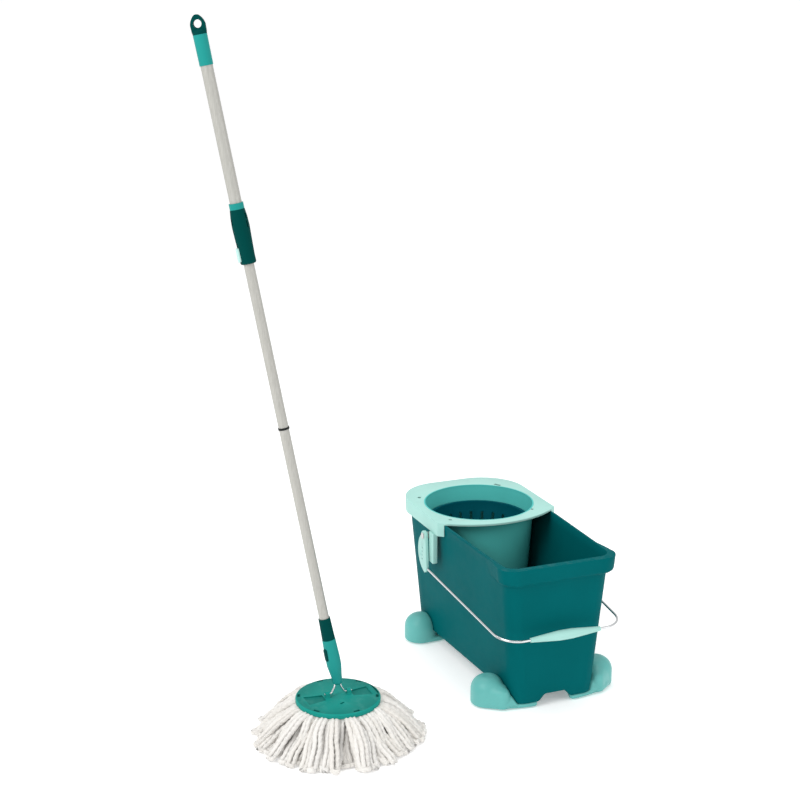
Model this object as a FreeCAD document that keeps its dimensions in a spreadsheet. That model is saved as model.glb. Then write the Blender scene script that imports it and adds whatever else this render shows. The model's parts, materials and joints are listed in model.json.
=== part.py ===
import FreeCAD, Part
import math
import os
import re

import Sketcher
from FreeCAD import Placement, Rotation, Vector

# Twist mop with its rolling spin bucket, in millimetres.
# Row frame: +Z up, +X the way the bucket rolls, origin on the floor under the middle of the set.
# The bucket stands at (bucket_x, bucket_y), the mop head at (mop_x, mop_y).

os.makedirs("parts", exist_ok=True)
doc = FreeCAD.newDocument("twist_mop_set")

SIZES = {
    # places of the two halves of the set
    "bucket_x": -41.0, "bucket_y": 254.0, "mop_x": 162.0, "mop_y": -192.3,
    # tub
    "tub_rear": -275.0, "tub_front": 253.0, "tub_half": 128.0, "tub_nose": 117.0,
    "tub_rear_low": -262.0, "tub_front_low": 242.0, "tub_half_low": 104.0,
    "tub_nose_low": 92.0, "tub_top": 305.0, "tub_base": 26.0,
    "tub_wall": 2.8, "tub_corner": 30.0, "tub_corner_rear": 88.0,
    "band_out": 12.0, "band_side": 9.0, "band_depth": 36.0, "band_start": 196.0,
    "leg_long": 26.0, "leg_in": 29.0, "leg_out": 79.0, "leg_low": 12.0, "leg_splay": 8.0,
    # collar, funnel and basket
    "spin_x": -127.0, "mouth_rad": 117.5, "collar_top": 310.0, "collar_skirt": 30.0,
    "collar_rear": -285.0, "collar_half": 136.0, "collar_corner": 95.0, "collar_side_end": -38.0,
    "collar_front_rad": 204.0, "collar_gap": 0.5,
    "clip_start": -74.0, "clip_wide": 22.0, "clip_in": 128.5, "clip_thick": 11.0,
    "clip_low": 214.0,
    "funnel_low_rad": 104.0, "funnel_low": 118.0, "funnel_wall": 2.5,
    "drain_rad": 9.0, "drain_ring": 70.0,
    "basket_rim_rad": 107.0, "basket_rim": 277.0, "basket_floor": 158.0, "basket_wall": 2.4,
    "basket_base_rad": 70.0, "basket_pin_rad": 5.0, "fit_gap": 0.05,
    # bail
    "pivot_x": -83.0, "pivot_z": 268.0, "pivot_rad": 4.0, "ear_in": 142.0, "ear_thick": 6.5,
    "bail_wire_rad": 2.5, "bail_front": 278.0, "bail_low": 165.0, "bail_drop": 200.0,
    "bail_bend": 46.0, "bail_squeeze": 13.0, "grip_half": 76.0, "grip_rad": 10.0, "grip_end_rad": 4.6,
    # castors
    "castor_front_x": 184.0, "castor_rear_x": -158.0, "castor_y": 122.0,
    "dome_rad": 34.0, "dome_top": 60.0, "dome_low": 3.0, "cavity_rad": 20.0, "cavity_top": 37.0,
    "skirt_top": 11.9, "cheek_top": 44.0, "wheel_rad": 12.0, "wheel_half": 5.5,
    "trail": 6.0, "axle_rad": 2.0, "stem_rad": 4.0, "fork_gap": 0.6, "fork_thick": 2.0,
    # mop head
    "disc_rad": 81.4, "disc_low": 72.5, "disc_top": 84.0, "recess_rad": 74.0, "recess_top": 79.0,
    "slot_ring": 75.6, "slot_long": 10.0, "slot_deep": 4.0, "slot_turn": 7.6,
    "ring_low": 66.0, "fringe_rad": 165.0,
    "foot_axis": 89.5, "lug_in": 17.5, "lug_thick": 8.0, "lug_rad": 5.5,
    # joint between head and handle
    "link_wire_rad": 1.8, "eye_rad": 5.2, "eye_rise": 24.0, "link_pin_rad": 3.35,
    "lean_x": 9.2, "lean_y": -5.9, "cap_turn": -22.4, "button_turn": -72.0,
    # handle, measured up its own axis from the joint pin
    "tube_rad": 9.5, "tube_bore": 8.6, "upper_rad": 11.0, "upper_bore": 10.2,
    "connector_end": 85.0, "sleeve_end": 128.0, "lower_end": 502.0, "ring_end": 506.0,
    "middle_end": 985.0, "grip_low": 814.0, "grip_high": 913.0, "lock_ring_end": 924.0,
    "upper_low": 825.0, "upper_end": 1208.0, "top_sleeve_low": 1168.0, "top_sleeve_end": 1221.5,
    "cap_end": 1256.0, "eye_high": 1240.0, "eye_bore": 7.3,
    "spindle_low": 880.0, "spindle_end": 1196.0, "spindle_rad": 5.0, "lead": 50.0,
    "groove_rad": 1.8, "ball_rad": 1.5, "groove_ring": 5.3, "nut_low": 961.0,
    "bush_low": 928.0, "bush_high": 956.0,
    "button_mid": 57.0, "button_long": 26.0, "button_wide": 9.0, "button_in": 9.0,
    "button_out": 15.2, "button_well": 5.5, "slider_turn": -92.0, "slider_low": 819.0,
    "slider_long": 26.0,
    "slider_wide": 10.0, "slider_in": 12.6, "slider_out": 17.6, "slider_travel": 8.0,
}

sheet = doc.addObject("Spreadsheet::Sheet", "Sizes")
for row, (alias, number) in enumerate(SIZES.items(), start=1):
    sheet.set("A%d" % row, alias)
    sheet.set("B%d" % row, str(number))
    sheet.setAlias("B%d" % row, alias)
doc.recompute()

parts = []


def link(text):
    """Expression on the sheet: every plain word is a named size."""
    return re.sub(r"[a-z][a-z_]*", lambda word: "Sizes." + word.group(0), text)


def size(text):
    """Present value of an expression on the sheet."""
    return float(sheet.evalExpression(link(text)))


def keep(part, label, place=None):
    """Name a finished sub-part, place it and remember it for export."""
    part.Label = label
    if place is not None:
        part.Placement = place
    parts.append(part)
    return part


def new_body(name):
    return doc.addObject("PartDesign::Body", name)


def new_sketch(body, plane, level=None, name="outline"):
    """Sketch on one of the body's own origin planes, raised by level."""
    origin = [f for f in body.Origin.OriginFeatures if f.Role == plane][0]
    sketch = body.newObject("Sketcher::SketchObject", name)
    sketch.AttachmentSupport = [(origin, "")]
    sketch.MapMode = "FlatFace"
    if level is not None:
        sketch.setExpression("AttachmentOffset.Base.z", link(level))
    return sketch


def fix_point(sketch, edge, end, x_text, y_text):
    """Hold one end of an edge at two expressions measured from the sketch origin."""
    for kind, axis, text in (("DistanceX", -2, x_text), ("DistanceY", -1, y_text)):
        if text == "0":
            sketch.addConstraint(Sketcher.Constraint("PointOnObject", edge, end, axis))
            continue
        number = sketch.addConstraint(Sketcher.Constraint(kind, -1, 1, edge, end, size(text)))
        sketch.setExpression("Constraints[%d]" % number, link(text))


def outline(sketch, corners):
    """Closed outline. A corner is (x, y) or (x, y, radius): the radius bends the edge
    that leaves the corner, to the left when it is positive and to the right when negative."""
    spots = [Vector(size(c[0]), size(c[1]), 0) for c in corners]
    ends = []
    for i, corner in enumerate(corners):
        a, b = spots[i], spots[(i + 1) % len(spots)]
        if len(corner) == 2:
            edge = sketch.addGeometry(Part.LineSegment(a, b), False)
            ends.append((edge, 1, 2))
            continue
        bend = corner[2]
        radius = abs(size(bend))
        turn = 1 if size(bend) > 0 else -1
        chord = b - a
        rise = math.sqrt(max(radius ** 2 - (chord.Length / 2) ** 2, 0.0))
        left = Vector(-chord.y, chord.x, 0).normalize()
        centre = (a + b) * 0.5 + left * (rise * turn)
        first, last = (a, b) if turn > 0 else (b, a)
        circle = Part.Circle(centre, Vector(0, 0, 1), radius)
        arc = Part.ArcOfCircle(circle, math.atan2(first.y - centre.y, first.x - centre.x),
                               math.atan2(last.y - centre.y, last.x - centre.x))
        edge = sketch.addGeometry(arc, False)
        ends.append((edge, 1, 2) if turn > 0 else (edge, 2, 1))
        number = sketch.addConstraint(Sketcher.Constraint("Radius", edge, radius))
        sketch.setExpression("Constraints[%d]" % number, link(bend.lstrip("-")))
    for i, (edge, start, _) in enumerate(ends):
        before, _, stop = ends[i - 1]
        sketch.addConstraint(Sketcher.Constraint("Coincident", before, stop, edge, start))
        fix_point(sketch, edge, start, corners[i][0], corners[i][1])
    return sketch


def ring(sketch, x_text, y_text, radius):
    """Circle at a bound centre with a bound radius."""
    centre = Vector(size(x_text), size(y_text), 0)
    edge = sketch.addGeometry(Part.Circle(centre, Vector(0, 0, 1), size(radius)), False)
    number = sketch.addConstraint(Sketcher.Constraint("Radius", edge, size(radius)))
    sketch.setExpression("Constraints[%d]" % number, link(radius))
    fix_point(sketch, edge, 3, x_text, y_text)


def rounded_box(sketch, x_low, x_high, y_low, y_high, r_high, r_low=None):
    """Rectangle with round corners: r_high at its +X end, r_low at its -X end."""
    r_low = r_low or r_high
    outline(sketch, [
        ("%s + %s" % (x_low, r_low), y_low),
        ("%s - %s" % (x_high, r_high), y_low, r_high),
        (x_high, "%s + %s" % (y_low, r_high)),
        (x_high, "%s - %s" % (y_high, r_high), r_high),
        ("%s - %s" % (x_high, r_high), y_high),
        ("%s + %s" % (x_low, r_low), y_high, r_low),
        (x_low, "%s - %s" % (y_high, r_low)),
        (x_low, "%s + %s" % (y_low, r_low), r_low)])


def extrude(body, kind, sketch, length, flip=False, both=False):
    """Pad or Pocket of a bound length."""
    feature = body.newObject("PartDesign::" + kind, kind.lower())
    feature.Profile = sketch
    feature.Reversed = flip
    if both:
        feature.Midplane = True
    feature.setExpression("Length", link(length))
    body.Tip = feature
    return feature


def revolve(body, kind, sketch):
    """Revolution or Groove about the sketch's own upright axis."""
    feature = body.newObject("PartDesign::" + kind, kind.lower())
    feature.Profile = sketch
    feature.ReferenceAxis = (sketch, ["V_Axis"])
    feature.Angle = 360.0
    body.Tip = feature
    return feature


def loft(body, kind, low, high):
    """AdditiveLoft or SubtractiveLoft between two sketches."""
    feature = body.newObject("PartDesign::" + kind, kind.lower())
    feature.Profile = low
    feature.Sections = [high]
    feature.Ruled = True
    body.Tip = feature
    return feature


def round_turn(body, feature, count):
    """Repeat a feature evenly round the upright axis."""
    pattern = body.newObject("PartDesign::PolarPattern", "pattern")
    pattern.Originals = [feature]
    pattern.Axis = ([f for f in body.Origin.OriginFeatures if f.Role == "Z_Axis"][0], [""])
    pattern.Angle = 360.0
    pattern.Occurrences = count
    body.Tip = pattern
    return pattern


def turned(label, corners, place):
    """Lathe-turned sub-part from its half section (radius, height)."""
    body = new_body(label)
    revolve(body, "Revolution", outline(new_sketch(body, "XZ_Plane"), corners))
    return keep(body, label, place)


def tube(label, r_in, r_out, low, high, place):
    corners = [(r_in, low), (r_out, low), (r_out, high), (r_in, high)]
    return turned(label, corners, place)


def bent_path(points, radii):
    """Wire of straight runs joined by tangent arcs, one radius for each inner point."""
    edges = []
    last = points[0]
    for i in range(1, len(points) - 1):
        to_before = (points[i - 1] - points[i]).normalize()
        to_after = (points[i + 1] - points[i]).normalize()
        half = to_before.getAngle(to_after) / 2
        reach = radii[i - 1] / math.tan(half)
        middle = (to_before + to_after).normalize()
        centre = points[i] + middle * (radii[i - 1] / math.sin(half))
        start = points[i] + to_before * reach
        stop = points[i] + to_after * reach
        edges.append(Part.LineSegment(last, start).toShape())
        edges.append(Part.Arc(start, centre - middle * radii[i - 1], stop).toShape())
        last = stop
    edges.append(Part.LineSegment(last, points[-1]).toShape())
    return Part.Wire(edges)


def round_bar(path, radius):
    """Solid round bar swept along a path."""
    start = path.Edges[0]
    heading = start.tangentAt(start.FirstParameter)
    section = Part.Wire(Part.makeCircle(radius, start.valueAt(start.FirstParameter), heading))
    return path.makePipeShell([section], True, False)


def shaped(label, shape, place=None):
    """Sub-part whose shape is worked out from the sheet's sizes in this script."""
    part = doc.addObject("Part::Feature", label)
    part.Shape = shape
    return keep(part, label, place or Placement())


BUCKET = Placement(Vector(size("bucket_x"), size("bucket_y"), 0), Rotation())
SPIN = Placement(Vector(size("bucket_x + spin_x"), size("bucket_y"), 0), Rotation())
HEAD = Placement(Vector(size("mop_x"), size("mop_y"), 0), Rotation())
LINK = Placement(Vector(size("mop_x"), size("mop_y"), size("foot_axis")),
                 Rotation(Vector(0, 1, 0), size("lean_y")))
HANDLE = LINK.multiply(Placement(Vector(0, 0, size("eye_rise")),
                                 Rotation(Vector(1, 0, 0), size("lean_x"))))


def spun(place, turn):
    """The same place, turned about its own upright axis."""
    return place.multiply(Placement(Vector(), Rotation(Vector(0, 0, 1), turn)))


# ---------------------------------------------------------------- tub

def tub_outline(sketch, low, inset="0.0", dx="0.0", dy="0.0"):
    """Outline of the tub at its base or its rim, slimmer at its nose; pulled in and shifted."""
    tail = "_low" if low else ""
    back = "tub_rear%s + %s - %s" % (tail, inset, dx)
    front = "tub_front%s - %s - %s" % (tail, inset, dx)
    wide, slim = "(tub_half%s - %s)" % (tail, inset), "(tub_nose%s - %s)" % (tail, inset)
    nose, rear = "(tub_corner - %s)" % inset, "(tub_corner_rear - %s)" % inset
    return outline(sketch, [
        ("%s + %s" % (back, rear), "-%s - %s" % (wide, dy)),
        ("%s - %s" % (front, nose), "-%s - %s" % (slim, dy), nose),
        (front, "%s - %s - %s" % (nose, slim, dy)),
        (front, "%s - %s - %s" % (slim, nose, dy), nose),
        ("%s - %s" % (front, nose), "%s - %s" % (slim, dy)),
        ("%s + %s" % (back, rear), "%s - %s" % (wide, dy), rear),
        (back, "%s - %s - %s" % (wide, rear, dy)),
        (back, "%s - %s - %s" % (rear, wide, dy), rear)])


def make_tub():
    body = new_body("tub")
    low = tub_outline(new_sketch(body, "XY_Plane", "tub_base"), True)
    high = tub_outline(new_sketch(body, "XY_Plane", "tub_top"), False)
    loft(body, "AdditiveLoft", low, high)
    band = new_sketch(body, "XY_Plane", "tub_top - band_depth")
    rounded_box(band, "band_start", "tub_front + band_out", "-tub_nose - band_side",
                "tub_nose + band_side", "tub_corner + 4", "12")
    extrude(body, "Pad", band, "band_depth")
    for side in ("-1", "1"):
        leg = new_sketch(body, "YZ_Plane", "tub_front_low - leg_long")
        corners = [("leg_in + leg_splay", "leg_low"), ("leg_out", "leg_low"),
                   ("leg_out", "tub_base + 2"), ("leg_in - leg_splay", "tub_base + 2")]
        outline(leg, [("%s * (%s)" % (side, y), z) for y, z in corners])
        extrude(body, "Pad", leg, "leg_long")
    floor = new_sketch(body, "XY_Plane", "tub_base + tub_wall")
    rim = new_sketch(body, "XY_Plane", "tub_top + 0.01")
    loft(body, "SubtractiveLoft", tub_outline(floor, True, "tub_wall"),
         tub_outline(rim, False, "tub_wall"))
    return keep(body, "tub", BUCKET)


def make_pivot_pins():
    """The pair of stepped pins that the bail turns on."""
    half, ear = size("tub_half - 8"), size("ear_in")
    steps = ((7.5, half, ear - 0.4), (size("pivot_rad"), ear - 0.4, ear + size("ear_thick") + 0.4),
             (6.5, ear + size("ear_thick") + 0.4, ear + size("ear_thick") + 2.2))
    pins = []
    for side in (-1, 1):
        pieces = [Part.makeCylinder(r, b - a, Vector(0, side * a, 0), Vector(0, side, 0))
                  for r, a, b in steps]
        pin = pieces[0].fuse(pieces[1:]).removeSplitter()
        pin.translate(Vector(size("pivot_x"), 0, size("pivot_z")))
        pins.append(pin)
    return shaped("pivot_pins", Part.makeCompound(pins), BUCKET)


# ---------------------------------------------------------------- collar, funnel and basket

def make_collar():
    body = new_body("collar")
    base = new_sketch(body, "XY_Plane", "collar_top - collar_skirt")
    front, back = "collar_side_end", "collar_rear + collar_corner"
    outline(base, [
        (back, "-collar_half"), (front, "-collar_half", "collar_front_rad"),
        (front, "collar_half"), (back, "collar_half", "collar_corner"),
        ("collar_rear", "collar_half - collar_corner"),
        ("collar_rear", "collar_corner - collar_half", "collar_corner")])
    extrude(body, "Pad", base, "collar_skirt")
    seat = new_sketch(body, "XY_Plane", "tub_top + 0.2")
    tub_outline(seat, False, "(-collar_gap)")
    extrude(body, "Pocket", seat, "60")
    mouth = new_sketch(body, "XY_Plane", "collar_top + 1")
    ring(mouth, "spin_x", "0", "mouth_rad")
    extrude(body, "Pocket", mouth, "60")
    return keep(body, "collar", BUCKET)


def make_collar_clips():
    """Two straps that hang from the collar outside the tub and hook the insert down."""
    straps = []
    high = size("collar_top - collar_skirt")
    for side in (-1, 1):
        inner = size("clip_in")
        strap = Part.makeBox(size("clip_wide"), size("clip_thick"), high - size("clip_low"))
        strap = strap.makeFillet(2.0, [e for e in strap.Edges if e.Length > 60])
        low_y = inner if side > 0 else -inner - size("clip_thick")
        strap.translate(Vector(size("clip_start"), low_y, size("clip_low")))
        straps.append(strap)
    return shaped("collar_clips", Part.makeCompound(straps), BUCKET)


def make_funnel():
    body = new_body("funnel")
    section = outline(new_sketch(body, "XZ_Plane"), [
        ("basket_pin_rad", "funnel_low"), ("funnel_low_rad", "funnel_low"),
        ("mouth_rad", "tub_top"), ("mouth_rad", "collar_top"),
        ("mouth_rad - funnel_wall", "collar_top"), ("mouth_rad - funnel_wall", "tub_top"),
        ("funnel_low_rad - funnel_wall", "funnel_low + 3"),
        ("basket_pin_rad", "funnel_low + 3")])
    revolve(body, "Revolution", section)
    drain = new_sketch(body, "XY_Plane", "funnel_low + 4")
    ring(drain, "drain_ring", "0", "drain_rad")
    hole = extrude(body, "Pocket", drain, "8")
    round_turn(body, hole, 8)
    return keep(body, "funnel", SPIN)


def make_basket():
    body = new_body("spin_basket")
    rim, floor = "basket_rim", "basket_floor"
    section = outline(new_sketch(body, "XZ_Plane"), [
        ("basket_pin_rad + fit_gap", "funnel_low + 5.2"), ("14", "funnel_low + 5.2"),
        ("14", floor), ("basket_base_rad - 16", floor, "22"), ("basket_base_rad", floor + " + 12"),
        ("basket_rim_rad - 4", rim + " - 6"), ("basket_rim_rad", rim + " - 6"),
        ("basket_rim_rad", rim), ("basket_rim_rad - 6.4", rim),
        ("basket_rim_rad - 6.4", rim + " - 5"),
        ("basket_base_rad - basket_wall", floor + " + 14", "-20"),
        ("basket_base_rad - 17", floor + " + basket_wall"),
        ("14", floor + " + basket_wall"), ("12", floor + " + 12"),
        ("basket_pin_rad + fit_gap", floor + " + 12")])
    revolve(body, "Revolution", section)
    slot = new_sketch(body, "YZ_Plane", "50")
    outline(slot, [("-3", floor + " + 22"), ("3", floor + " + 22"),
                   ("3", rim + " - 22"), ("-3", rim + " - 22")])
    cut = extrude(body, "Pocket", slot, "80", flip=True)
    round_turn(body, cut, 24)
    return keep(body, "spin_basket", SPIN)


def make_spin_parts():
    turned("basket_pin", [
        ("0", "funnel_low - 5"), ("10", "funnel_low - 5"), ("10", "funnel_low"),
        ("basket_pin_rad", "funnel_low"), ("basket_pin_rad", "basket_floor + 14"),
        ("basket_pin_rad - 2", "basket_floor + 16"), ("0", "basket_floor + 16")], SPIN)
    tube("thrust_washer", "basket_pin_rad", "13", "funnel_low + 3", "funnel_low + 5", SPIN)


# ---------------------------------------------------------------- bail

def make_bail():
    radius = size("bail_wire_rad")
    arm = size("ear_in + ear_thick / 2")
    elbow = Vector(size("pivot_x + 10"), 0, size("bail_drop"))
    front = Vector(size("bail_front"), 0, size("bail_low"))
    top = Vector(size("pivot_x + 3"), 0, size("pivot_z - 22"))
    slim = arm - size("bail_squeeze")
    half = [p + Vector(0, -y, 0) for p, y in ((top, arm), (elbow, arm), (front, slim))]
    other = [Vector(p.x, -p.y, p.z) for p in reversed(half)]
    bends = [8.0, size("bail_bend"), size("bail_bend"), 8.0]
    wire = round_bar(bent_path(half + other, bends), radius)
    shaped("bail_wire", wire, BUCKET)

    body = new_body("bail_grip")
    section = outline(new_sketch(body, "XZ_Plane"), [
        ("bail_wire_rad", "-grip_half"), ("grip_end_rad", "-grip_half"),
        ("grip_rad", "-14"), ("grip_rad", "14"), ("grip_end_rad", "grip_half"),
        ("bail_wire_rad", "grip_half")])
    revolve(body, "Revolution", section)
    lying = Placement(Vector(front.x, 0, front.z), Rotation(Vector(1, 0, 0), 90))
    keep(body, "bail_grip", BUCKET.multiply(lying))

    for label, side in (("bail_ear_right", "-1"), ("bail_ear_left", "1")):
        body = new_body(label)
        leaf = new_sketch(body, "XZ_Plane")
        outline(leaf, [
            ("pivot_x + 11", "pivot_z"), ("pivot_x + 18", "bail_drop - 4"),
            ("pivot_x + 8", "bail_drop - 12"), ("pivot_x + 2", "bail_drop - 10", "-46"),
            ("pivot_x - 11", "pivot_z", "-11.01")])
        extrude(body, "Pad", leaf, "ear_thick", flip=(side == "1"))
        bore = new_sketch(body, "XZ_Plane")
        ring(bore, "pivot_x", "pivot_z", "pivot_rad + fit_gap")
        extrude(body, "Pocket", bore, "ear_thick * 3", both=True)
        offset = Placement(Vector(0, float(side) * size("ear_in"), 0), Rotation())
        keep(body, label, BUCKET.multiply(offset))


# ---------------------------------------------------------------- castors

def handed(sketch, side, corners):
    """Outline with Y counted outwards; on the right hand it is run the other way round."""
    shell = [(c[0], "%d * (%s)" % (side, c[1])) + c[2:] for c in corners]
    if side < 0:
        shell = [shell[i][:2] + shell[i - 1][2:] for i in range(len(shell) - 1, -1, -1)]
    return outline(sketch, shell)


def make_castor(name, x_text, side, skirt_corners, cheek_corners):
    """Housing, fork, axle and wheel of one castor; side is -1 right, 1 left."""
    spot = Vector(size("bucket_x + " + x_text), size("bucket_y") + side * size("castor_y"), 0)
    place = Placement(spot, Rotation())
    body = new_body("castor_housing_" + name)
    dome = outline(new_sketch(body, "XZ_Plane"), [
        ("0", "dome_low"), ("dome_rad", "dome_low"), ("dome_rad", "dome_low + 31", "29"),
        ("dome_rad - 25", "dome_top"), ("0", "dome_top")])
    revolve(body, "Revolution", dome)
    skirt = handed(new_sketch(body, "XY_Plane", "dome_low"), side, skirt_corners)
    extrude(body, "Pad", skirt, "skirt_top - dome_low")
    if cheek_corners:
        low = handed(new_sketch(body, "XY_Plane", "skirt_top - 1"), side, cheek_corners[0])
        high = handed(new_sketch(body, "XY_Plane", "cheek_top"), side, cheek_corners[1])
        loft(body, "AdditiveLoft", low, high)
    shift = "%d * castor_y" % side
    floor = tub_outline(new_sketch(body, "XY_Plane", "tub_base"), True, "0.0", x_text, shift)
    rim = tub_outline(new_sketch(body, "XY_Plane", "tub_top"), False, "0.0", x_text, shift)
    loft(body, "SubtractiveLoft", floor, rim)
    cavity = outline(new_sketch(body, "XZ_Plane"), [
        ("0", "dome_low - 1"), ("cavity_rad", "dome_low - 1"), ("cavity_rad", "cavity_top - 4"),
        ("cavity_rad - 4", "cavity_top"), ("stem_rad + fit_gap", "cavity_top"),
        ("stem_rad + fit_gap", "dome_top - 4"), ("0", "dome_top - 4")])
    revolve(body, "Groove", cavity)
    keep(body, "castor_housing_" + name, place)

    body = new_body("castor_fork_" + name)
    top = outline(new_sketch(body, "XZ_Plane"), [
        ("0", "wheel_rad * 2 + 3"), ("11", "wheel_rad * 2 + 3"), ("11", "wheel_rad * 2 + 6"),
        ("8", "cavity_top - 0.4"), ("stem_rad", "cavity_top - 0.4"),
        ("stem_rad", "dome_top - 5"), ("0", "dome_top - 5")])
    revolve(body, "Revolution", top)
    for hand in ("-1", "1"):
        plate = new_sketch(body, "XZ_Plane",
                           "%s * (wheel_half + fork_gap + fork_thick / 2)" % hand)
        outline(plate, [
            ("-trail - 5", "wheel_rad", "5.01"), ("-trail + 5", "wheel_rad"),
            ("7", "wheel_rad * 2 + 1"), ("7", "wheel_rad * 2 + 4"),
            ("-7", "wheel_rad * 2 + 4"), ("-11", "wheel_rad * 2")])
        extrude(body, "Pad", plate, "fork_thick", both=True)
    bore = new_sketch(body, "XZ_Plane")
    ring(bore, "-trail", "wheel_rad", "axle_rad")
    extrude(body, "Pocket", bore, "60", both=True)
    keep(body, "castor_fork_" + name, place)

    lying = place.multiply(Placement(Vector(-size("trail"), 0, size("wheel_rad")),
                                     Rotation(Vector(1, 0, 0), 90)))
    end = "wheel_half + fork_gap + fork_thick + 0.8"
    turned("castor_axle_" + name, [("0", "-(%s)" % end), ("axle_rad", "-(%s)" % end),
                                   ("axle_rad", end), ("0", end)], lying)
    bore_rad = "axle_rad + fit_gap"
    turned("castor_wheel_" + name, [
        (bore_rad, "-wheel_half"), ("wheel_rad - 4", "-wheel_half"),
        ("wheel_rad - 2", "-wheel_half"), ("wheel_rad", "-wheel_half + 2"),
        ("wheel_rad", "wheel_half - 2"), ("wheel_rad - 2", "wheel_half"),
        (bore_rad, "wheel_half")], lying)


def make_castors():
    """Skirts and cheeks are outlined from the swivel axis, with Y counted outwards."""
    foot = [("-28", "-62"), ("50", "-86", "10"), ("58", "-80", "190"), ("28", "18", "34.01"),
            ("-dome_rad", "0")]
    cheek = ([("-6", "-8"), ("48", "-43"), ("57", "-41", "75"), ("26", "21")],
             [("-6", "-8"), ("24", "-30"), ("33", "-20", "60"), ("14", "18")])
    rear = [("-26", "-60"), ("22", "-60", "8"), ("29", "-53", "140"), ("33", "-6", "34.01"),
            ("-dome_rad", "0")]
    for end, x_text, skirt, upper in (("front", "castor_front_x", foot, cheek),
                                      ("rear", "castor_rear_x", rear, None)):
        for side_name, side in (("right", -1), ("left", 1)):
            make_castor("%s_%s" % (end, side_name), x_text, side, skirt, upper)


# ---------------------------------------------------------------- mop head

def make_disc():
    body = new_body("mop_disc")
    plate = outline(new_sketch(body, "XZ_Plane"), [
        ("0", "recess_top"), ("recess_rad", "recess_top"), ("recess_rad", "disc_low"),
        ("disc_rad - 1.5", "disc_low"), ("disc_rad", "disc_low + 1.5"),
        ("disc_rad", "disc_top - 4.5", "3.2"), ("disc_rad - 3", "disc_top - 1.6"),
        ("0", "disc_top")])
    revolve(body, "Revolution", plate)
    for side in ("-1", "1"):
        level = "%s * (lug_in + lug_thick / 2)" % side
        lug = outline(new_sketch(body, "XZ_Plane", level), [
            ("-lug_rad - 1.5", "disc_top - 2"), ("lug_rad + 1.5", "disc_top - 2"),
            ("lug_rad", "foot_axis", "lug_rad + 0.01"), ("-lug_rad", "foot_axis")])
        extrude(body, "Pad", lug, "lug_thick", both=True)
    bore = new_sketch(body, "XZ_Plane")
    ring(bore, "0", "foot_axis", "link_wire_rad + fit_gap")
    extrude(body, "Pocket", bore, "4 * disc_rad", both=True)
    slot = new_sketch(body, "XY_Plane", "disc_top + 1")
    outline(slot, [("slot_ring - slot_deep / 2", "-slot_long / 2"),
                   ("slot_ring + slot_deep / 2", "-slot_long / 2"),
                   ("slot_ring + slot_deep / 2", "slot_long / 2"),
                   ("slot_ring - slot_deep / 2", "slot_long / 2")])
    slot.setExpression("AttachmentOffset.Rotation.Angle", link("slot_turn"))
    cut = extrude(body, "Pocket", slot, "7")
    round_turn(body, cut, 6)
    return keep(body, "mop_disc", HEAD)


def make_head():
    make_disc()
    tube("mop_ring", "34", "recess_rad - 0.2", "ring_low", "recess_top", HEAD)
    turned("fringe", [
        ("34", "ring_low"), ("recess_rad", "ring_low"), ("disc_rad", "disc_low - 2"),
        ("disc_rad + 22", "disc_low - 10"), ("fringe_rad - 30", "disc_low - 30"),
        ("fringe_rad - 8", "20"), ("fringe_rad", "5"), ("fringe_rad - 2", "0"),
        ("fringe_rad - 22", "0"), ("fringe_rad - 40", "18"), ("disc_rad + 16", "42"),
        ("disc_rad - 12", "50"), ("34", "52")], HEAD)


def make_link():
    """Bent wire that tilts in the disc's lugs and carries the handle on its eye."""
    wire = size("link_wire_rad")
    rise = size("eye_rise")
    reach = size("lug_in + lug_thick")
    bars = []
    for side in (-1, 1):
        points = [Vector(0, side * (reach + 2), 0), Vector(0, side * 13.5, 0),
                  Vector(0, side * 6.0, 12.0), Vector(0, side * size("eye_rad"), rise)]
        bars.append(round_bar(bent_path(points, [4.5, 9.0]), wire))
    eye = Part.makeTorus(size("eye_rad"), wire, Vector(0, 0, rise), Vector(1, 0, 0))
    shaped("joint_wire", eye.fuse(bars).removeSplitter(), LINK)
    body = new_body("joint_pin")
    revolve(body, "Revolution", outline(new_sketch(body, "XZ_Plane"), [
        ("0", "-9"), ("link_pin_rad", "-9"), ("link_pin_rad", "9"), ("0", "9")]))
    keep(body, "joint_pin", HANDLE.multiply(Placement(Vector(), Rotation(Vector(0, 1, 0), 90))))


# ---------------------------------------------------------------- handle

def button_outline(sketch, gap):
    """Long button's outline with round ends, wider all round by gap."""
    half = "(button_wide / 2 + %s)" % gap
    reach = "(button_long - button_wide) / 2"
    bend = "%s + 0.01" % half
    outline(sketch, [
        (half, "button_mid - %s" % reach), (half, "button_mid + %s" % reach, bend),
        ("-" + half, "button_mid + %s" % reach), ("-" + half, "button_mid - %s" % reach, bend)])


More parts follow.
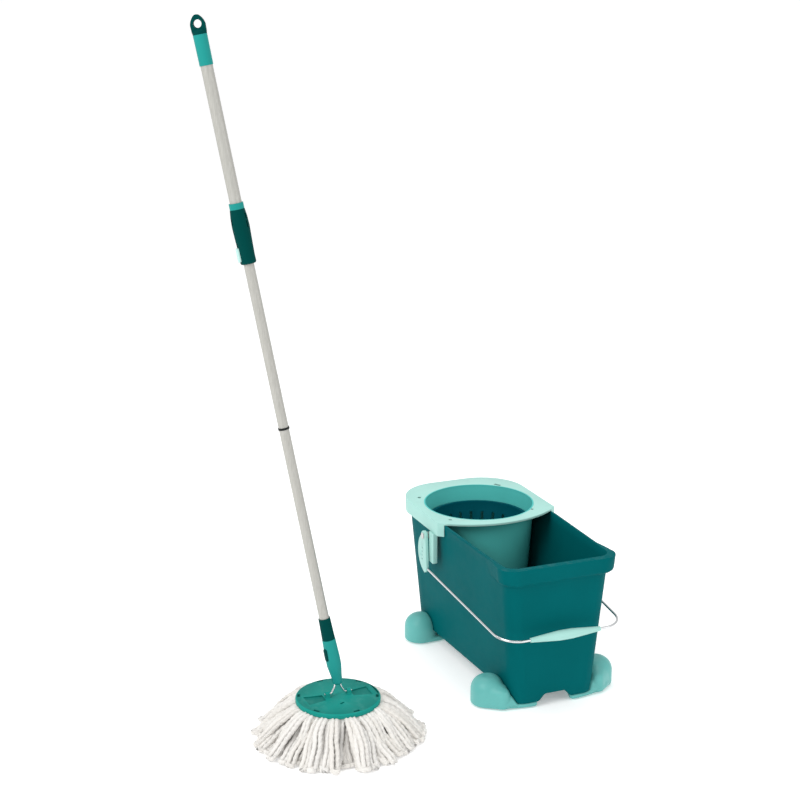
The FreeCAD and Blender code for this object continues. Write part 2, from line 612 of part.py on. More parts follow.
def make_joint_foot():
    body = new_body("joint_foot")
    section = outline(new_sketch(body, "XZ_Plane"), [
        ("0", "-7.5"), ("5", "-7.5", "6"), ("9.5", "-2"), ("10.2", "8"),
        ("13.9", "32"), ("14", "48"), ("12.7", "connector_end"), ("tube_rad", "connector_end"),
        ("tube_rad", "connector_end - 10"), ("0", "connector_end - 10")])
    revolve(body, "Revolution", section)
    slot = new_sketch(body, "YZ_Plane")
    gap = "link_wire_rad + 0.4"
    outline(slot, [("-20", "-12"), ("20", "-12"), ("20", "eye_rad + link_wire_rad + 1"),
                   ("-20", "eye_rad + link_wire_rad + 1")])
    extrude(body, "Pocket", slot, "2 * (%s)" % gap, both=True)
    bore = new_sketch(body, "YZ_Plane")
    ring(bore, "0", "0", "link_pin_rad")
    extrude(body, "Pocket", bore, "18", both=True)
    well = new_sketch(body, "YZ_Plane")
    aim = math.radians(size("button_turn"))
    depth = size("button_well")
    well.AttachmentOffset = Placement(Vector(depth * math.sin(aim), 0, depth * math.cos(aim)),
                                      Rotation(Vector(0, 1, 0), size("button_turn")))
    button_outline(well, "0.15")
    extrude(body, "Pocket", well, "12", flip=True)
    keep(body, "joint_foot", HANDLE)


def make_button():
    place = spun(HANDLE, size("button_turn"))
    body = new_body("release_button")
    face = new_sketch(body, "YZ_Plane", "button_in")
    button_outline(face, "0.0")
    extrude(body, "Pad", face, "button_out - button_in")
    keep(body, "release_button", place)
    wire = 0.35
    coil = Part.makeHelix(1.0, size("button_in - button_well") - 2 * wire, 2.6)
    profile = Part.Wire(Part.makeCircle(wire, Vector(2.6, 0, 0), Vector(0, 1, 0)))
    spring = Part.Wire(coil.Edges).makePipeShell([profile], True, True)
    lying = Placement(Vector(size("button_well") + wire, 0, size("button_mid")),
                      Rotation(Vector(0, 1, 0), 90))
    shaped("button_spring", spring, place.multiply(lying))


def make_tubes():
    turned("lower_sleeve", [
        ("tube_rad", "connector_end"), ("12.4", "connector_end"), ("11.2", "sleeve_end"),
        ("tube_rad", "sleeve_end")], HANDLE)
    tube("lower_tube", "tube_bore", "tube_rad", "connector_end - 10", "lower_end", HANDLE)
    tube("joint_ring", "tube_bore", "10.6", "lower_end", "ring_end", HANDLE)
    tube("tube_coupler", "5.6", "tube_bore", "lower_end - 30", "ring_end + 30", HANDLE)
    tube("middle_tube", "tube_bore", "tube_rad", "ring_end", "middle_end", HANDLE)
    tube("swivel_bush", "tube_rad + fit_gap", "upper_bore - fit_gap", "bush_low", "bush_high",
         HANDLE)
    tube("upper_tube", "upper_bore", "upper_rad", "upper_low", "upper_end", HANDLE)
    tube("lock_ring", "upper_rad", "13.2", "grip_high", "lock_ring_end", HANDLE)
    turned("top_sleeve", [
        ("0", "upper_end"), ("upper_rad", "upper_end"), ("upper_rad", "top_sleeve_low"),
        ("12.2", "top_sleeve_low"), ("12.7", "top_sleeve_end"), ("0", "top_sleeve_end")], HANDLE)
    turned("spindle_holder", [
        ("spindle_rad", "spindle_end - 8"), ("upper_bore", "spindle_end - 8"),
        ("upper_bore", "upper_end"), ("0", "upper_end"), ("0", "spindle_end"),
        ("spindle_rad", "spindle_end")], HANDLE)


def groove_tool(low, high, radius, turn):
    """Helical bar that follows one of the spindle's two grooves."""
    coil = Part.makeHelix(size("lead"), high - low, size("groove_ring"))
    heading = Vector(0, 2 * math.pi * size("groove_ring"), size("lead"))
    start = Vector(size("groove_ring"), 0, 0)
    bar = Part.Wire(coil.Edges).makePipeShell(
        [Part.Wire(Part.makeCircle(radius, start, heading))], True, True)
    bar.rotate(Vector(), Vector(0, 0, 1), turn)
    bar.translate(Vector(0, 0, low))
    return bar


def make_drive():
    """Grooved spindle of the handle and the nut whose two balls run in its grooves."""
    low, high = size("spindle_low"), size("spindle_end")
    rod = Part.makeCylinder(size("spindle_rad"), high - low, Vector(0, 0, low))
    grooves = [groove_tool(low - 4, high - 12, size("groove_rad"), turn) for turn in (0, 180)]
    shaped("spindle", rod.cut(grooves), HANDLE)
    nut_low, nut_high = size("nut_low"), size("middle_end")
    nut = Part.makeCylinder(size("tube_bore"), nut_high - nut_low, Vector(0, 0, nut_low))
    head = Part.makeCylinder(size("tube_rad"), 4.0, Vector(0, 0, nut_high))
    bore = Part.makeCylinder(size("spindle_rad") + 0.1, 60.0, Vector(0, 0, nut_low - 10))
    middle = (nut_low + nut_high) / 2
    phase = 360.0 * (middle - (low - 4)) / size("lead")
    balls = []
    for turn in (0, 180):
        angle = math.radians(phase + turn)
        spot = Vector(math.cos(angle), math.sin(angle), 0) * size("groove_ring")
        balls.append(Part.makeSphere(size("ball_rad"), spot + Vector(0, 0, middle)))
    shaped("drive_nut", nut.fuse(head).cut(bore).fuse(balls).removeSplitter(), HANDLE)


def make_lock():
    body = new_body("lock_grip")
    section = outline(new_sketch(body, "XZ_Plane"), [
        ("tube_rad + 0.1", "grip_low"), ("13.4", "grip_low"), ("14.6", "grip_low + 3"),
        ("14.2", "grip_low + 14"), ("14.8", "grip_low + 34"),
        ("16", "grip_low + 68"), ("15.2", "grip_high - 14"), ("13.4", "grip_high"),
        ("upper_rad", "grip_high"), ("upper_rad", "upper_low"), ("tube_rad + 0.1", "upper_low")])
    revolve(body, "Revolution", section)
    well = new_sketch(body, "YZ_Plane", "slider_in - 0.3")
    half = "slider_wide / 2 + 0.2"
    outline(well, [("-(%s)" % half, "slider_low - 0.2"), (half, "slider_low - 0.2"),
                   (half, "slider_low + slider_long + slider_travel + 0.2"),
                   ("-(%s)" % half, "slider_low + slider_long + slider_travel + 0.2")])
    extrude(body, "Pocket", well, "12", flip=True)
    place = spun(HANDLE, size("slider_turn"))
    keep(body, "lock_grip", place)
    body = new_body("lock_slider")
    pad = new_sketch(body, "YZ_Plane", "slider_in")
    rounded_box(pad, "-slider_wide / 2", "slider_wide / 2", "slider_low",
                "slider_low + slider_long", "3")
    extrude(body, "Pad", pad, "slider_out - slider_in")
    keep(body, "lock_slider", place)


def make_cap():
    body = new_body("hanging_cap")
    neck = outline(new_sketch(body, "XZ_Plane"), [
        ("0", "top_sleeve_end"), ("12.7", "top_sleeve_end"), ("12.9", "top_sleeve_end + 5"),
        ("9", "top_sleeve_end + 10"), ("0", "top_sleeve_end + 10")])
    revolve(body, "Revolution", neck)
    loop = new_sketch(body, "YZ_Plane")
    outline(loop, [
        ("-12.6", "top_sleeve_end + 3"), ("12.6", "top_sleeve_end + 3"),
        ("13.2", "eye_high - 2", "26"), ("6", "cap_end - 3.2", "7.4"),
        ("-6", "cap_end - 3.2", "26"), ("-13.2", "eye_high - 2")])
    extrude(body, "Pad", loop, "13", both=True)
    bore = new_sketch(body, "YZ_Plane")
    ring(bore, "0", "eye_high", "eye_bore")
    extrude(body, "Pocket", bore, "40", both=True)
    keep(body, "hanging_cap", spun(HANDLE, size("cap_turn")))


make_tub()
make_pivot_pins()
make_collar()
make_collar_clips()
make_funnel()
make_basket()
make_spin_parts()
make_bail()
make_castors()
make_head()
make_link()
make_joint_foot()
make_button()
make_tubes()
make_drive()
make_lock()
make_cap()

doc.recompute()

faults = ["%s of %s" % (item.Label, [owner.Label for owner in item.InList])
          for item in doc.Objects if "Invalid" in item.State or "Error" in item.State]
faults += [part.Label + " has no valid shape" for part in parts
           if part.Shape.isNull() or not part.Shape.isValid()]
if faults:
    raise RuntimeError("failed: " + "; ".join(faults))

for part in parts:
    part.Shape.exportStep("parts/%s.step" % part.Label)

box = parts[0].Shape.BoundBox
for part in parts[1:]:
    box.add(part.Shape.BoundBox)
print("nodes", len(parts))
print("box", box)
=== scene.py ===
import json
import math

import bpy
import bmesh
from mathutils import Matrix, Vector


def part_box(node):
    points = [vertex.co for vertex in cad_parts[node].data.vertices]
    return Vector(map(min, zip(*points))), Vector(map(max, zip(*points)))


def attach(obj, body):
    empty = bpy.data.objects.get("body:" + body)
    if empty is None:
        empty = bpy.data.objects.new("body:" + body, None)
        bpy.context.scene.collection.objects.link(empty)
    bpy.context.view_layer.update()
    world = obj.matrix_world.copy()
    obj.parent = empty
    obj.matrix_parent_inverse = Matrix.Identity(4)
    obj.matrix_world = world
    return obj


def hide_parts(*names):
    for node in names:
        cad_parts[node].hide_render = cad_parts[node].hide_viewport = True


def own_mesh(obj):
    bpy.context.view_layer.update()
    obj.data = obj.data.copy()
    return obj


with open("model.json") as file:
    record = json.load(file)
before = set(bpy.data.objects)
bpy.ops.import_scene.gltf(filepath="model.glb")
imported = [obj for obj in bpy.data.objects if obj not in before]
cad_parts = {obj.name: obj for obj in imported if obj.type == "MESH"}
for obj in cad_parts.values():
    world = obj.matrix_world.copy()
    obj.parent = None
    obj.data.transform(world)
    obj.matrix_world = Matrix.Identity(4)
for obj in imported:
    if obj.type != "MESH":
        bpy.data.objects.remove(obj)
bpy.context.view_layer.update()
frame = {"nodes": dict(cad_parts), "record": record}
nodes = frame["nodes"]
MM = 0.001

tub_low, tub_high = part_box("tub")
fringe_low, fringe_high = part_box("fringe")
disc_low, disc_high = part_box("mop_disc")
MOP = Vector(((disc_low.x + disc_high.x) / 2, (disc_low.y + disc_high.y) / 2, 0.0))
BUCKET = Vector((tub_low.x + 275 * MM, (tub_low.y + tub_high.y) / 2, 0.0))
CASTORS = ("front_right", "front_left", "rear_right", "rear_left")


# ---------------------------------------------------------------- shader maths

class Finish:
    """A material being built: its node tree, and one method that adds any node."""

    def __init__(self, name):
        self.material = bpy.data.materials.new(name)
        self.material.use_nodes = True
        self.tree = self.material.node_tree
        self.shader = self.tree.nodes["Principled BSDF"]
        self.place = self.node("ShaderNodeTexCoord").out("Object")

    def node(self, kind, settings=None, **values):
        made = self.tree.nodes.new(kind)
        for key, value in (settings or {}).items():
            setattr(made, key, value)
        for key, value in values.items():
            socket = made.inputs[int(key[1:])] if key[1:].isdigit() else made.inputs[
                key.replace("_", " ").title()]
            self.feed(socket, value)
        return Made(self, made)

    def feed(self, socket, value):
        if isinstance(value, Value):
            self.tree.links.new(value.socket, socket)
        elif hasattr(socket.default_value, "__len__") and not hasattr(value, "__len__"):
            socket.default_value = [value] * len(socket.default_value)
        elif hasattr(value, "__len__") and len(socket.default_value) == 4 and len(value) == 3:
            socket.default_value = (*value, 1.0)
        else:
            socket.default_value = value

    def maths(self, operation, *values):
        inputs = {"i%d" % i: v for i, v in enumerate(values)}
        return self.node("ShaderNodeMath", {"operation": operation}, **inputs).out(0)

    def noise(self, scale, detail=2.0, at=None, rough=0.5):
        return self.node("ShaderNodeTexNoise", vector=at or self.place, scale=scale,
                         detail=detail, roughness=rough).out(0)

    def stretched(self, scale):
        return self.node("ShaderNodeMapping", vector=self.place, scale=scale).out(0)

    def ramp(self, factor, low, high):
        return self.node("ShaderNodeMapRange", i0=factor, i1=low, i2=high).out(0)

    def mix(self, factor, first, second):
        mixed = self.tree.nodes.new("ShaderNodeMix")
        mixed.data_type = "RGBA"
        for index, value in ((0, factor), (6, first), (7, second)):
            self.feed(mixed.inputs[index], value)
        return Value(self, mixed.outputs[2])

    def bump(self, height, depth, strength=1.0):
        made = self.node("ShaderNodeBump", strength=strength, distance=depth, height=height)
        self.feed(self.shader.inputs["Normal"], made.out(0))

    def set(self, **values):
        for key, value in values.items():
            self.feed(self.shader.inputs[key.replace("_", " ").title().replace("Ior", "IOR")],
                      value)
        return self


class Made:
    """A node just added, from which an output is taken by name or number."""

    def __init__(self, finish, made):
        self.finish, self.made = finish, made

    def out(self, name):
        return Value(self.finish, self.made.outputs[name])


class Value:
    """A number that varies over a surface; sums and products of it add Math nodes."""

    def __init__(self, finish, socket):
        self.finish, self.socket = finish, socket

    def __add__(self, other):
        return self.finish.maths("ADD", self, other)

    def __sub__(self, other):
        return self.finish.maths("SUBTRACT", self, other)

    def __rsub__(self, other):
        return self.finish.maths("SUBTRACT", other, self)

    def __mul__(self, other):
        return self.finish.maths("MULTIPLY", self, other)

    __radd__ = __add__
    __rmul__ = __mul__


# ---------------------------------------------------------------- finishes

def moulded(name, shade, gloss=0.40, grain=0.00002, shine=0.22):
    """Injection-moulded plastic: faint flow marks, fine skin, dulled patches, lighter patches on
    upward-facing faces, and painted shade in the recesses a piece marks.
    """
    f = Finish(name)
    dark = tuple(c * 0.93 for c in shade)
    light = tuple(c * 0.85 + 0.09 for c in shade)
    flow = f.noise(9.0, 3.0)
    skin = f.noise(1400.0, 2.0)
    rub = f.noise(55.0, 4.0, rough=0.65)
    upward = f.node("ShaderNodeSeparateXYZ", vector=f.node("ShaderNodeNewGeometry").out("Normal"))
    top = f.ramp(upward.out("Z"), 0.55, 1.0) * f.ramp(rub, 0.5, 0.75) * 0.25
    colour = f.mix(f.ramp(flow, 0.35, 0.65), dark, shade)
    # painted shade: where a piece marks its recesses, the colour goes down to 30 percent
    hollow = f.node("ShaderNodeAttribute", {"attribute_name": "hollow"}).out("Fac")
    colour = f.mix(hollow, colour, tuple(c * 0.30 for c in shade))
    f.set(base_color=f.mix(top, colour, light),
          roughness=gloss + f.ramp(rub, 0.4, 0.8) * 0.12 + skin * 0.03,
          specular_ior_level=shine, ior=1.15 + shine)
    f.bump(skin + flow * 0.4, grain)
    return f.material


def yarn_finish(name):
    """Looped microfibre yarn: plies that turn round it, loose fibres, and painted shade where its
    tufts sink.
    """
    f = Finish(name)
    along = f.node("ShaderNodeAttribute", {"attribute_name": "yarn"})
    parts = f.node("ShaderNodeSeparateXYZ", vector=along.out("Vector"))
    length, turn, kind = parts.out("X"), parts.out("Y"), parts.out("Z")
    ply = f.maths("SINE", (length * (1 / 0.011) + turn * 3.0) * (2 * math.pi)) * 0.5 + 0.5
    fibre = f.noise(1500.0, 3.0)
    tuft = f.noise(420.0, 3.0)
    soil = f.noise(38.0, 3.0)
    base = f.mix(f.ramp(kind, 0.0, 1.0), (0.74, 0.715, 0.675), (0.80, 0.785, 0.76))
    # painted shade: greyer where the tuft bump is low
    shaded = f.mix(f.ramp(tuft, 0.62, 0.3) * 0.35, base, (0.66, 0.63, 0.58))
    f.set(base_color=f.mix(f.ramp(soil, 0.55, 0.75) * 0.2, shaded, (0.74, 0.70, 0.64)),
          roughness=0.9, sheen_weight=0.35, sheen_roughness=0.5, specular_ior_level=0.15)
    f.bump(ply * 0.5 + tuft * 0.9 + fibre * 0.5, 0.0009)
    return f.material


def tube_finish(name):
    """Lacquered steel tube in warm grey, with fine lines drawn along it."""
    f = Finish(name)
    streak = f.noise(60.0, 3.0, at=f.stretched((14.0, 14.0, 0.7)))
    speck = f.noise(900.0, 2.0)
    f.set(base_color=f.mix(f.ramp(streak, 0.35, 0.7), (0.37, 0.365, 0.335), (0.45, 0.445, 0.415)),
          metallic=0.3, roughness=0.34 + streak * 0.10 + speck * 0.05)
    f.bump(speck * 0.6 + streak, 0.00002)
    return f.material


def metal_finish(name, shade, rough):
    """Plain or plated metal with hairline scratches and a little tarnish."""
    f = Finish(name)
    hair = f.noise(300.0, 4.0, at=f.stretched((1.0, 6.0, 1.0)))
    stain = f.noise(45.0, 3.0)
    dull = tuple(c * 0.72 for c in shade)
    f.set(base_color=f.mix(f.ramp(stain, 0.5, 0.8) * 0.5, shade, dull), metallic=1.0,
          roughness=rough + f.ramp(hair, 0.45, 0.7) * 0.12 + stain * 0.05)
    f.bump(hair, 0.00001)
    return f.material


def rubber_finish(name, shade):
    """Dull rubber with a dusty bloom and a fine rough skin."""
    f = Finish(name)
    dust = f.noise(120.0, 4.0)
    skin = f.noise(1800.0, 2.0)
    f.set(base_color=f.mix(f.ramp(dust, 0.5, 0.75) * 0.6, shade, (0.30, 0.29, 0.27)),
          roughness=0.62 + dust * 0.2, specular_ior_level=0.3)
    f.bump(skin, 0.00005)
    return f.material


FINISHES = {
    "tub_plastic": moulded("tub_plastic", (0.0, 0.108, 0.117), 0.46, shine=0.07),
    "basket_plastic": moulded("basket_plastic", (0.0, 0.075, 0.098), 0.46, shine=0.08),
    "mint_plastic": moulded("mint_plastic", (0.36, 0.64, 0.585), shine=0.25),
    "funnel_plastic": moulded("funnel_plastic", (0.095, 0.54, 0.505), shine=0.15),
    "housing_plastic": moulded("housing_plastic", (0.115, 0.43, 0.405), 0.34, shine=0.35),
    "disc_plastic": moulded("disc_plastic", (0.010, 0.265, 0.225), shine=0.12),
    "sleeve_plastic": moulded("sleeve_plastic", (0.012, 0.26, 0.238), shine=0.2),
    "slider_plastic": moulded("slider_plastic", (0.44, 0.68, 0.64)),
    "dark_plastic": moulded("dark_plastic", (0.0, 0.050, 0.046), 0.46, 0.00005, 0.08),
    "black_plastic": moulded("black_plastic", (0.014, 0.016, 0.016), 0.45, 0.00004),
    "ring_plastic": moulded("ring_plastic", (0.70, 0.71, 0.68)),
    "fork_plastic": moulded("fork_plastic", (0.50, 0.53, 0.52)),
    "wheel_plastic": rubber_finish("wheel_plastic", (0.035, 0.038, 0.038)),
    "tube_metal": tube_finish("tube_metal"),
    "steel": metal_finish("steel", (0.56, 0.56, 0.55), 0.28),
    "chrome_wire": metal_finish("chrome_wire", (0.66, 0.67, 0.68), 0.12),
    "fringe_yarn": yarn_finish("fringe_yarn"),
}
SLOT_OF = {sub["node"]: sub["material_slot"] for sub in frame["record"]["subparts"]}
BODY_OF = {name: body for body, members in frame["record"]["behaviour"]["bodies"].items()
           for name in members}


def paint(piece, slot):
    """Give a piece the finish of a slot and no other."""
    piece.data.materials.clear()
    piece.data.materials.append(FINISHES[slot])


for node_name, node in nodes.items():
    paint(node, SLOT_OF[node_name])


# ---------------------------------------------------------------- mesh helpers

def add_mesh(name, points, faces):
    """A new piece from plain lists of points and faces."""
    mesh = bpy.data.meshes.new(name)
    mesh.from_pydata([tuple(p) for p in points], [], faces)
    piece = bpy.data.objects.new(name, mesh)
    bpy.context.scene.collection.objects.link(piece)
    return piece


def add_shell(name, shell):
    """A new piece from a bmesh, which is used up."""
    mesh = bpy.data.meshes.new(name)
    shell.to_mesh(mesh)
    shell.free()
    piece = bpy.data.objects.new(name, mesh)
    bpy.context.scene.collection.objects.link(piece)
    return piece


def settle(piece, smooth_angle=None):
    """Freeze the modifiers into the mesh."""
    graph = bpy.context.evaluated_depsgraph_get()
    mesh = bpy.data.meshes.new_from_object(piece.evaluated_get(graph))
    piece.modifiers.clear()
    piece.data = mesh
    if smooth_angle is not None:
        mesh.shade_smooth()
        mesh.set_sharp_from_angle(angle=math.radians(smooth_angle))
    return piece


def finish_piece(piece, body, slot, *replaced):
    """Paint a piece, hang it on its body, and hide the CAD sub-parts it stands for."""
    paint(piece, slot)
    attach(piece, body)
    if replaced:
        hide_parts(*replaced)
    return piece


def merged_copy(node_name, name):
    """The CAD sub-part's own shape as joined-up faces, ready to be rounded."""
    piece = bpy.data.objects.new(name, nodes[node_name].data.copy())
    bpy.context.scene.collection.objects.link(piece)
    shell = bmesh.new()
    shell.from_mesh(piece.data)
    bmesh.ops.remove_doubles(shell, verts=shell.verts, dist=0.00001)
    bmesh.ops.dissolve_limit(shell, angle_limit=math.radians(1.0), verts=shell.verts,
                             edges=shell.edges)
    shell.to_mesh(piece.data)
    shell.free()
    return piece


def take_away(piece, cutters):
    """Cut closed pieces out of another one; the cutting pieces are used up."""
    for cutter in cutters:
        cut = piece.modifiers.new("recess", "BOOLEAN")
        cut.operation = "DIFFERENCE"
        cut.solver = "EXACT"
        cut.object = cutter
    settle(piece)
    for cutter in cutters:
        bpy.data.objects.remove(cutter)


def softened(node_name, radius, cutters=(), smooth_angle=38, segments=3):
    """A CAD sub-part with recesses cut and its sharp edges rounded, standing for that sub-part."""
    piece = merged_copy(node_name, node_name + "_moulding")
    bevel = piece.modifiers.new("edge", "BEVEL")
    bevel.width = radius
    bevel.segments = segments
    bevel.limit_method = "ANGLE"
    bevel.angle_limit = math.radians(smooth_angle)
    take_away(piece, cutters)
    settle(piece, smooth_angle)
    return finish_piece(piece, BODY_OF[node_name], SLOT_OF[node_name], node_name)


def paint_shade(piece, shading_of):
    """Paint shade into the insides of a piece's recesses, from a function that turns a point into
    0 to 1.
    """
    marks = piece.data.attributes.new("hollow", "FLOAT", "POINT")
    for i, vert in enumerate(piece.data.vertices):
        marks.data[i].value = shading_of(vert.co)


def block(centre, size, turn=0.0, taper=1.0):
    """A plain closed block used to cut a recess; its +Y end may be wider by taper."""
    half = Vector(size) / 2
    spin = Matrix.Rotation(turn, 3, "Z")
    points = []
    for z in (-half.z, half.z):
        for x, y in ((-1, -1), (1, -1), (1, 1), (-1, 1)):
            wide = taper if y > 0 else 1.0
            points.append(Vector(centre) + spin @ Vector((x * half.x * wide, y * half.y, z)))
    faces = [(3, 2, 1, 0), (4, 5, 6, 7), (0, 1, 5, 4), (1, 2, 6, 5), (2, 3, 7, 6), (3, 0, 4, 7)]
    return add_mesh("recess_block", points, faces)


def melted(node_name, voxel, rounds, fillers=()):
    """A CAD sub-part with its forms flowing into each other, standing for that sub-part."""
    piece = merged_copy(node_name, node_name + "_moulding")
    shell = bmesh.new()
    shell.from_mesh(piece.data)
    for filler in fillers:
        shell.from_mesh(filler.data)
        bpy.data.objects.remove(filler)
    shell.to_mesh(piece.data)
    shell.free()
    remesh = piece.modifiers.new("cells", "REMESH")
    remesh.mode = "VOXEL"
    remesh.voxel_size = voxel
    smooth = piece.modifiers.new("flow", "CORRECTIVE_SMOOTH")
    smooth.iterations = rounds
    smooth.smooth_type = "LENGTH_WEIGHTED"
    smooth.use_only_smooth = True
    settle(piece, 180)
    return finish_piece(piece, BODY_OF[node_name], SLOT_OF[node_name], node_name)


# ---------------------------------------------------------------- geometry node trees

class Recipe:
    """A Geometry Nodes tree built from named inputs, applied to a carrier and then frozen."""

    def __init__(self, name, inputs):
        self.tree = bpy.data.node_groups.new(name, "GeometryNodeTree")
        self.tree.interface.new_socket("Geometry", in_out="INPUT",
                                       socket_type="NodeSocketGeometry")
        self.inputs = {}
        for label, value in inputs.items():
            kind = "NodeSocketInt" if isinstance(value, int) else "NodeSocketFloat"
            socket = self.tree.interface.new_socket(label, in_out="INPUT", socket_type=kind)
            self.inputs[label] = (socket.identifier, value)
        self.tree.interface.new_socket("Geometry", in_out="OUTPUT",
                                       socket_type="NodeSocketGeometry")
        self.entry = self.tree.nodes.new("NodeGroupInput")
        self.exit = self.tree.nodes.new("NodeGroupOutput")

    def node(self, kind, settings=None, **values):
        made = self.tree.nodes.new(kind)
        for key, value in (settings or {}).items():
            setattr(made, key, value)
        for key, value in values.items():
            socket = made.inputs[int(key[1:])] if key[1:].isdigit() else made.inputs[
                key.replace("_", " ").title()]
            if isinstance(value, Field):
                self.tree.links.new(value.socket, socket)
            else:
                socket.default_value = value
        return Grown(self, made)

    def given(self, label):
        return Field(self, self.entry.outputs[label])

    def maths(self, operation, *values):
        inputs = {"i%d" % i: v for i, v in enumerate(values)}
        return self.node("ShaderNodeMath", {"operation": operation}, **inputs).out(0)

    def chance(self, low, high, seed, index):
        """A different even random number for each index."""
        made = self.node("FunctionNodeRandomValue", {"data_type": "FLOAT"},
                         i2=low, i3=high, i8=seed)
        self.tree.links.new(index.socket, made.made.inputs["ID"])
        return made.out(1)

    def vector(self, x, y, z):
        return self.node("ShaderNodeCombineXYZ", i0=x, i1=y, i2=z).out(0)

    def finish(self, geometry, material):
        real = self.node("GeometryNodeRealizeInstances", i0=geometry).out(0)
        painted = self.node("GeometryNodeSetMaterial", i0=real)
        painted.made.inputs["Material"].default_value = material
        self.tree.links.new(painted.made.outputs[0], self.exit.inputs[0])

    def make(self, name, **changes):
        """A plain mesh piece made by the tree with the given inputs."""
        piece = add_mesh(name, [(0, 0, 0)], [])
        modifier = piece.modifiers.new("recipe", "NODES")
        modifier.node_group = self.tree
        for label, (identifier, value) in self.inputs.items():
            modifier[identifier] = changes.get(label, value)
        return settle(piece)


class Grown:
    def __init__(self, recipe, made):
        self.recipe, self.made = recipe, made

    def out(self, name):
        return Field(self.recipe, self.made.outputs[name])


class Field:
    """A number or vector field of a Geometry Nodes tree, with the usual sums on it."""

    def __init__(self, recipe, socket):
        self.recipe, self.socket = recipe, socket

    def __add__(self, other):
        return self.recipe.maths("ADD", self, other)

    def __sub__(self, other):
        return self.recipe.maths("SUBTRACT", self, other)

    def __rsub__(self, other):
        return self.recipe.maths("SUBTRACT", other, self)

    def __mul__(self, other):
        return self.recipe.maths("MULTIPLY", self, other)

    def __truediv__(self, other):
        return self.recipe.maths("DIVIDE", self, other)

    __radd__ = __add__
    __rmul__ = __mul__


# ---------------------------------------------------------------- yarn fringe

